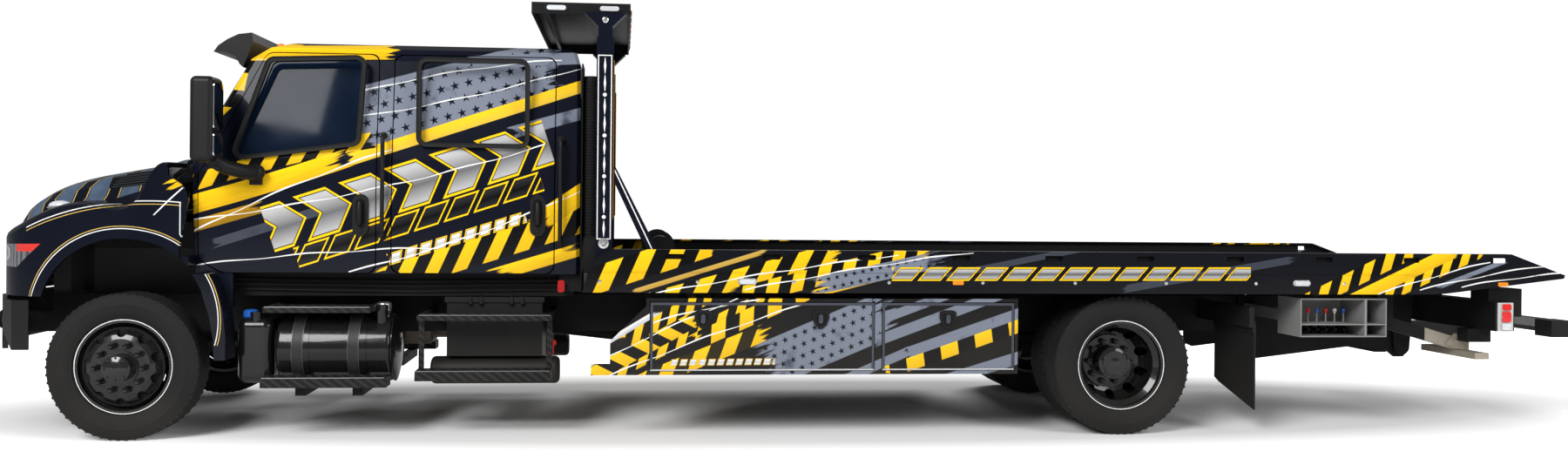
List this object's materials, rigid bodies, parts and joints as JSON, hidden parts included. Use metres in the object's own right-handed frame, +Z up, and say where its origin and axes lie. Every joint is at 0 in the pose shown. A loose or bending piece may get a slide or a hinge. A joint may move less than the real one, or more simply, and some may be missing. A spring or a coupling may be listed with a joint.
{
  "type": "crew-cab car carrier tow truck",
  "caption": "Crew-cab tow truck with a sliding, tilting flat deck, headboard with light wing, toolboxes, stabiliser and rear wheel lift.",
  "frame": {"origin": "middle of the bounding box at road level", "axes": "+X towards the rear of the truck, +Y to its right-hand side, +Z up"},
  "size_m": [10.872, 2.7, 2.8219],
  "materials": {
    "cab_paint": "gloss black-blue paint with bands",
    "hood_paint": "gloss black-blue paint with bands",
    "rail_paint": "gloss paint with bands",
    "headboard_paint": "gloss dark blue paint",
    "trim_black": "textured black plastic",
    "bumper_black": "satin black",
    "grille_black": "black grille",
    "headlamp_lens": "clear and red lens",
    "window_glass": "dark tinted glass",
    "dash_plastic": "grained dark plastic",
    "seat_fabric": "dark woven cloth",
    "frame_black": "satin black paint",
    "engine_grey": "painted castings",
    "tank_black": "satin black tank",
    "step_black": "black treads",
    "box_black": "black box",
    "exhaust_steel": "heat-shielded steel",
    "toolbox_paint": "grey frame",
    "toolbox_door_paint": "gloss paint with bands",
    "control_grey": "grey box",
    "flap_rubber": "black rubber",
    "deck_steel": "dark painted steel plate",
    "wing_black": "satin black",
    "winch_black": "satin black",
    "lamp_lens": "red and white lenses",
    "rod_chrome": "polished rod",
    "stabilizer_steel": "bare and painted steel",
    "lift_black": "satin black",
    "wheel_black": "gloss black wheel",
    "tyre_rubber": "tyre rubber"
  },
  "bodies": {
    "chassis": {"frame": "frame_black", "front_bumper": "bumper_black", "engine": "engine_grey", "driveline": "frame_black", "front_axle": "frame_black", "rear_axle": "frame_black", "leaf_springs": "frame_black", "cab_shell": "cab_paint", "cab_glass": "window_glass", "dashboard": "dash_plastic", "seats": "seat_fabric", "sun_visor": "trim_black", "fender_extensions": "hood_paint", "fuel_tanks": "tank_black", "cab_steps": "step_black", "battery_box": "box_black", "exhaust": "exhaust_steel", "toolboxes": "toolbox_paint", "mudflaps": "flap_rubber", "control_boxes": "control_grey"},
    "hood": {"hood": "hood_paint", "grille": "grille_black", "headlamps": "headlamp_lens"},
    "tilting_frame": {"tilt_frame": "frame_black", "tail_lamps": "lamp_lens"},
    "deck": {"deck_floor": "deck_steel", "deck_rails": "rail_paint", "headboard": "headboard_paint", "light_wing": "wing_black", "winch": "winch_black"},
    "barrels": {"cylinder_barrels": "frame_black"},
    "rods": {"cylinder_rods": "rod_chrome"},
    "stabilizer": {"stabilizer": "stabilizer_steel"},
    "lift_boom": {"wheel_lift_boom": "lift_black"},
    "lift_extension": {"wheel_lift_extension": "lift_black"},
    "lift_crossbar": {"wheel_lift_crossbar": "lift_black"},
    "knuckle_left": {"knuckle_left": "frame_black"},
    "front_wheel_left": {"wheel_front_left": "wheel_black", "tyre_front_left": "tyre_rubber"},
    "rear_wheels_left": {"wheels_rear_left": "wheel_black", "tyres_rear_left": "tyre_rubber"},
    "door_front_left": {"door_front_left": "cab_paint", "door_glass_front_left": "window_glass", "mirror_left": "trim_black"},
    "toolbox_door_front_left": {"toolbox_door_front_left": "toolbox_door_paint"},
    "door_rear_left": {"door_rear_left": "cab_paint", "door_glass_rear_left": "window_glass"},
    "toolbox_door_rear_left": {"toolbox_door_rear_left": "toolbox_door_paint"},
    "knuckle_right": {"knuckle_right": "frame_black"},
    "front_wheel_right": {"wheel_front_right": "wheel_black", "tyre_front_right": "tyre_rubber"},
    "rear_wheels_right": {"wheels_rear_right": "wheel_black", "tyres_rear_right": "tyre_rubber"},
    "door_front_right": {"door_front_right": "cab_paint", "door_glass_front_right": "window_glass", "mirror_right": "trim_black"},
    "toolbox_door_front_right": {"toolbox_door_front_right": "toolbox_door_paint"},
    "door_rear_right": {"door_rear_right": "cab_paint", "door_glass_rear_right": "window_glass"},
    "toolbox_door_rear_right": {"toolbox_door_rear_right": "toolbox_door_paint"}
  },
  "joints": [
    {"name": "steer_left", "type": "hinge", "parent": "chassis", "child": "knuckle_left", "pos_m": [-4.481, -0.902, 0.4645], "axis": [0, 0, 1], "range_deg": [-38, 38]},
    {"name": "spin_front_left", "type": "hinge", "parent": "knuckle_left", "child": "front_wheel_left", "pos_m": [-4.481, -1.022, 0.4645], "axis": [0, 1, 0], "continuous": true},
    {"name": "spin_rear_left", "type": "hinge", "parent": "chassis", "child": "rear_wheels_left", "pos_m": [1.971, -0.947, 0.4645], "axis": [0, 1, 0], "continuous": true},
    {"name": "door_front_left_hinge", "type": "hinge", "parent": "chassis", "child": "door_front_left", "pos_m": [-4.048, -1.014, 1.7], "axis": [0, 0, -1], "range_deg": [0, 70]},
    {"name": "toolbox_door_front_left_hinge", "type": "hinge", "parent": "chassis", "child": "toolbox_door_front_left", "pos_m": [-0.458, -1.27, 0.446], "axis": [1, 0, 0], "range_deg": [0, 90]},
    {"name": "door_rear_left_hinge", "type": "hinge", "parent": "chassis", "child": "door_rear_left", "pos_m": [-2.838, -1.014, 1.7], "axis": [0, 0, -1], "range_deg": [0, 70]},
    {"name": "toolbox_door_rear_left_hinge", "type": "hinge", "parent": "chassis", "child": "toolbox_door_rear_left", "pos_m": [0.764, -1.27, 0.446], "axis": [1, 0, 0], "range_deg": [0, 90]},
    {"name": "steer_right", "type": "hinge", "parent": "chassis", "child": "knuckle_right", "pos_m": [-4.481, 0.902, 0.4645], "axis": [0, 0, 1], "range_deg": [-38, 38]},
    {"name": "spin_front_right", "type": "hinge", "parent": "knuckle_right", "child": "front_wheel_right", "pos_m": [-4.481, 1.022, 0.4645], "axis": [0, 1, 0], "continuous": true},
    {"name": "spin_rear_right", "type": "hinge", "parent": "chassis", "child": "rear_wheels_right", "pos_m": [1.971, 0.947, 0.4645], "axis": [0, 1, 0], "continuous": true},
    {"name": "door_front_right_hinge", "type": "hinge", "parent": "chassis", "child": "door_front_right", "pos_m": [-4.048, 1.014, 1.7], "axis": [0, 0, 1], "range_deg": [0, 70]},
    {"name": "toolbox_door_front_right_hinge", "type": "hinge", "parent": "chassis", "child": "toolbox_door_front_right", "pos_m": [-0.458, 1.27, 0.446], "axis": [-1, 0, 0], "range_deg": [0, 90]},
    {"name": "door_rear_right_hinge", "type": "hinge", "parent": "chassis", "child": "door_rear_right", "pos_m": [-2.838, 1.014, 1.7], "axis": [0, 0, 1], "range_deg": [0, 70]},
    {"name": "toolbox_door_rear_right_hinge", "type": "hinge", "parent": "chassis", "child": "toolbox_door_rear_right", "pos_m": [0.764, 1.27, 0.446], "axis": [-1, 0, 0], "range_deg": [0, 90]},
    {"name": "hood_tilt", "type": "hinge", "parent": "chassis", "child": "hood", "pos_m": [-5.331, 0, 0.915], "axis": [0, -1, 0], "range_deg": [0, 55]},
    {"name": "deck_tilt", "type": "hinge", "parent": "chassis", "child": "tilting_frame", "pos_m": [4.416, 0, 0.505], "axis": [0, 1, 0], "range_deg": [0, 14]},
    {"name": "deck_slide", "type": "slide", "parent": "tilting_frame", "child": "deck", "axis": [1, 0, 0], "range_m": [0, 3.4]},
    {"name": "barrel_pivot", "type": "hinge", "parent": "chassis", "child": "barrels", "pos_m": [2.371, 0, 0.56], "axis": [0, -1, 0], "range_deg": [0, 8.6]},
    {"name": "rod_slide", "type": "slide", "parent": "barrels", "child": "rods", "axis": [0.9394, 0, 0.3429], "range_m": [0, 0.21583]},
    {"name": "stabilizer_pivot", "type": "hinge", "parent": "tilting_frame", "child": "stabilizer", "pos_m": [4.001, 0, 0.735], "axis": [0, 1, 0], "range_deg": [0, 60]},
    {"name": "lift_tilt", "type": "hinge", "parent": "tilting_frame", "child": "lift_boom", "pos_m": [4.561, 0, 0.6], "axis": [0, 1, 0], "range_deg": [0, 9]},
    {"name": "lift_extend", "type": "slide", "parent": "lift_boom", "child": "lift_extension", "axis": [1, 0, 0], "range_m": [0, 0.3]},
    {"name": "crossbar_swivel", "type": "hinge", "parent": "lift_extension", "child": "lift_crossbar", "pos_m": [5.361, 0, 0.66], "axis": [0, 0, 1], "range_deg": [-30, 30]}
  ],
  "couplings": [
    {"joint": "steer_right", "follows": "steer_left", "ratio": 1},
    {"joint": "barrel_pivot", "follows": "deck_tilt", "ratio": 0.611},
    {"joint": "rod_slide", "follows": "deck_tilt", "m_per_rad": 0.88126}
  ]
}
